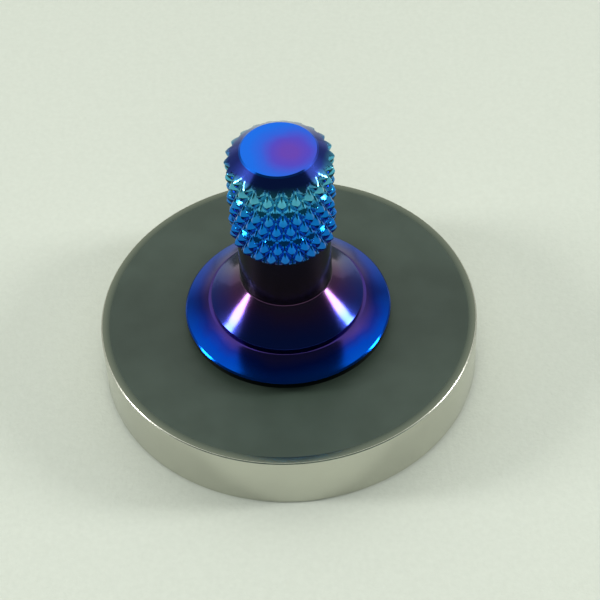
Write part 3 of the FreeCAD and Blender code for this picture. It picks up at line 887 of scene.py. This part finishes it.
@dataclass
class Studio:
    """Pale floor, soft lamps and the camera.

    The top leans: it rests on its ball and on the edge of its wheel. It stays upright in its own frame,
    and the floor is tilted to touch it there. The floor's radius and the lamps are in metres and watts,
    the paper's tooth and the camera in millimetres, scales in bumps per metre and angles in degrees. The
    bands of the walls follow the upward part of a direction, and each edge is the span over which one
    wall gives way to the next.
    """

    lean_towards: float = 262.0
    floor_radius: float = 1.6
    floor_rings: int = 40
    floor_columns: int = 96
    floor_colours: Bands = ((0.3, srgb(193, 198, 187)), (0.7, srgb(197, 202, 191)))
    floor_roughness: float = 0.75
    floor_specular: float = 0.3
    speckle_scale: float = 1700.0
    tooth_scale: float = 2600.0
    tooth_depth: float = 0.04
    camera_distance: float = 227.6
    camera_elevation: float = 48.8
    camera_roll: float = -3.14
    camera_clip: float = 5.0
    aim: Place = (1.294, 0.0, 2.146)
    lens: float = 128.3
    lamp_reach: float = 0.46
    lamp_height: float = 0.2
    lamp_size: Pair = (0.11, 0.2)
    lamp_power: float = 1.55
    lamp_aim: Place = (0.0, 0.0, 0.01)
    fill_place: Place = (0.0, -0.5, 0.5)
    fill_size: float = 0.5
    fill_power: float = 1.3
    side_bands: Bands = (
        (0.0, (0.36, 0.37, 0.35)), (0.3, (0.36, 0.37, 0.35)), (0.6, (1.1, 1.12, 1.07)),
        (1.0, (1.2, 1.22, 1.16)))
    back_bands: Bands = (
        (0.0, (0.68, 0.7, 0.65)), (0.3, (0.68, 0.7, 0.65)), (0.6, (1.1, 1.12, 1.07)),
        (1.0, (1.2, 1.22, 1.16)))
    front_wall: Colour = (0.065, 0.105, 0.09)
    back_edge: Pair = (0.72, 0.86)
    front_edge: Pair = (-0.175, -0.145)
    front_foot: Pair = (-0.02, 0.04)
    wheel: Wheel = field(default_factory=Wheel)

    def build(self) -> None:
        """Make the floor, the lamps, the world and the camera."""
        self.build_floor()
        self.build_lamps()
        self.build_world()
        self.build_camera()

    def floor_height(self, across: np.ndarray, along: np.ndarray) -> np.ndarray:
        """Level of the floor: it rises evenly towards the lean and touches the wheel's lower edge."""
        under = self.wheel.levels[0]
        slope = under / (self.wheel.radius - self.wheel.edge_round)
        angle = math.radians(self.lean_towards)
        return slope * (across * math.cos(angle) + along * math.sin(angle))

    def build_floor(self) -> None:
        """Round sheet of paper, finer towards the middle: a ring's radius grows as its number squared."""
        columns = self.floor_columns
        rings = np.linspace(0, 1, self.floor_rings)[1:, None] ** 2 * self.floor_radius
        angles = np.linspace(0, 2 * math.pi, columns, endpoint=False)[None, :]
        across = (rings * np.cos(angles)).ravel()
        along = (rings * np.sin(angles)).ravel()
        points = np.stack([across, along, self.floor_height(across, along)], -1)
        points = np.concatenate([points, [[0, 0, 0]]])
        faces = grid_faces(len(rings), columns, np.repeat(rings, columns, axis=1), False)[:, ::-1]
        column = np.arange(columns)
        fan = np.stack([np.full(columns, len(points) - 1), column, (column + 1) % columns], -1)
        mesh = bpy.data.meshes.new("floor")
        mesh.from_pydata(points.tolist(), [], np.concatenate([faces, fan]).tolist())
        mesh.materials.append(self.floor_material())
        floor = bpy.data.objects.new("floor", mesh)
        bpy.context.scene.collection.objects.link(floor)

    def floor_material(self) -> bpy.types.Material:
        """Pale matt paper with a fine tooth."""
        graph = Finishing("floor_paper")
        tooth = graph.noise(graph.place, self.tooth_scale, 5.0)
        speckle = graph.noise(graph.place, self.speckle_scale, 4.0)
        graph.set(
            base_color=graph.bands(speckle, self.floor_colours),
            roughness=self.floor_roughness,
            specular_ior_level=self.floor_specular,
            normal=graph.bump(tooth, self.tooth_depth * MM),
        )
        return graph.material

    def build_lamps(self) -> None:
        """A narrow soft lamp on each side, and a wide fill lamp in front that no metal mirrors."""
        for name, side in (("left_lamp", -1), ("right_lamp", 1)):
            place = (side * self.lamp_reach, 0.0, self.lamp_height)
            self.add_lamp(name, place, self.lamp_size, self.lamp_power)
        wide = (self.fill_size, self.fill_size)
        fill = self.add_lamp("fill_lamp", self.fill_place, wide, self.fill_power)
        fill.visible_glossy = False

    def add_lamp(self, name: str, place: Place, size: Pair, power: float) -> bpy.types.Object:
        """Add an oval lamp that faces the top.

        Args:
            name: Name of the lamp.
            place: Where it stands, in metres.
            size: Width and height in metres.
            power: Power in watts.

        Returns:
            The lamp.
        """
        data = bpy.data.lights.new(name, "AREA")
        data.shape = "ELLIPSE"
        data.size, data.size_y = size
        data.energy = power
        lamp = bpy.data.objects.new(name, data)
        towards = Vector(self.lamp_aim) - Vector(place)
        turned = towards.to_track_quat("-Z", "Y").to_matrix().to_4x4()
        lamp.matrix_world = Matrix.Translation(place) @ turned
        bpy.context.scene.collection.objects.link(lamp)
        return lamp

    def build_world(self) -> None:
        """White room that is dimmer low down, above all at its sides, with a dark wall in front."""
        world = bpy.data.worlds.new("room")
        world.use_nodes = True
        bpy.context.scene.world = world
        graph = Graph(world.node_tree)
        direction = graph.node("ShaderNodeTexCoord").outputs["Generated"]
        _, depth, height = graph.split(direction)
        behind = graph.spread(depth, 0.0, 1.0, *self.back_edge)
        sides = graph.bands(height, self.side_bands)
        walls = graph.blend(behind, sides, graph.bands(height, self.back_bands))
        front = graph.math("MULTIPLY", graph.spread(depth, 1.0, 0.0, *self.front_edge),
                           graph.spread(height, 0.0, 1.0, *self.front_foot))
        background = world.node_tree.nodes["Background"]
        graph.feed(graph.blend(front, walls, self.front_wall), background.inputs["Color"])

    def build_camera(self) -> None:
        """Place the camera by its distance and elevation from the middle of the face, and roll it."""
        face = Vector((0, 0, self.wheel.levels[1] * MM))
        elevation = math.radians(self.camera_elevation)
        back = Vector((0, -math.cos(elevation), math.sin(elevation)))
        place = face + back * self.camera_distance * MM
        forward = (face + Vector(self.aim) * MM - place).normalized()
        level_right = forward.cross(Vector((0, 0, 1))).normalized()
        level_up = level_right.cross(forward)
        roll = math.radians(self.camera_roll)
        right = level_right * math.cos(roll) + level_up * math.sin(roll)
        up = level_up * math.cos(roll) - level_right * math.sin(roll)
        data = bpy.data.cameras.new("camera")
        data.lens = self.lens
        data.clip_start = self.camera_clip * MM
        camera = bpy.data.objects.new("camera", data)
        axes = Matrix((right, up, -forward)).transposed().to_4x4()
        camera.matrix_world = Matrix.Translation(place) @ axes
        bpy.context.scene.collection.objects.link(camera)
        bpy.context.scene.camera = camera


def main() -> None:
    """Build the top and its studio."""
    logging.basicConfig(level=logging.INFO, format="%(message)s")
    bpy.context.scene.view_settings.view_transform = "Standard"
    wheel = Wheel()
    wheel.build()
    Tip().build()
    Flange().build()
    Grip().build()
    Kept().build()
    Studio(wheel=wheel).build()


if __name__ == "__main__":
    main()
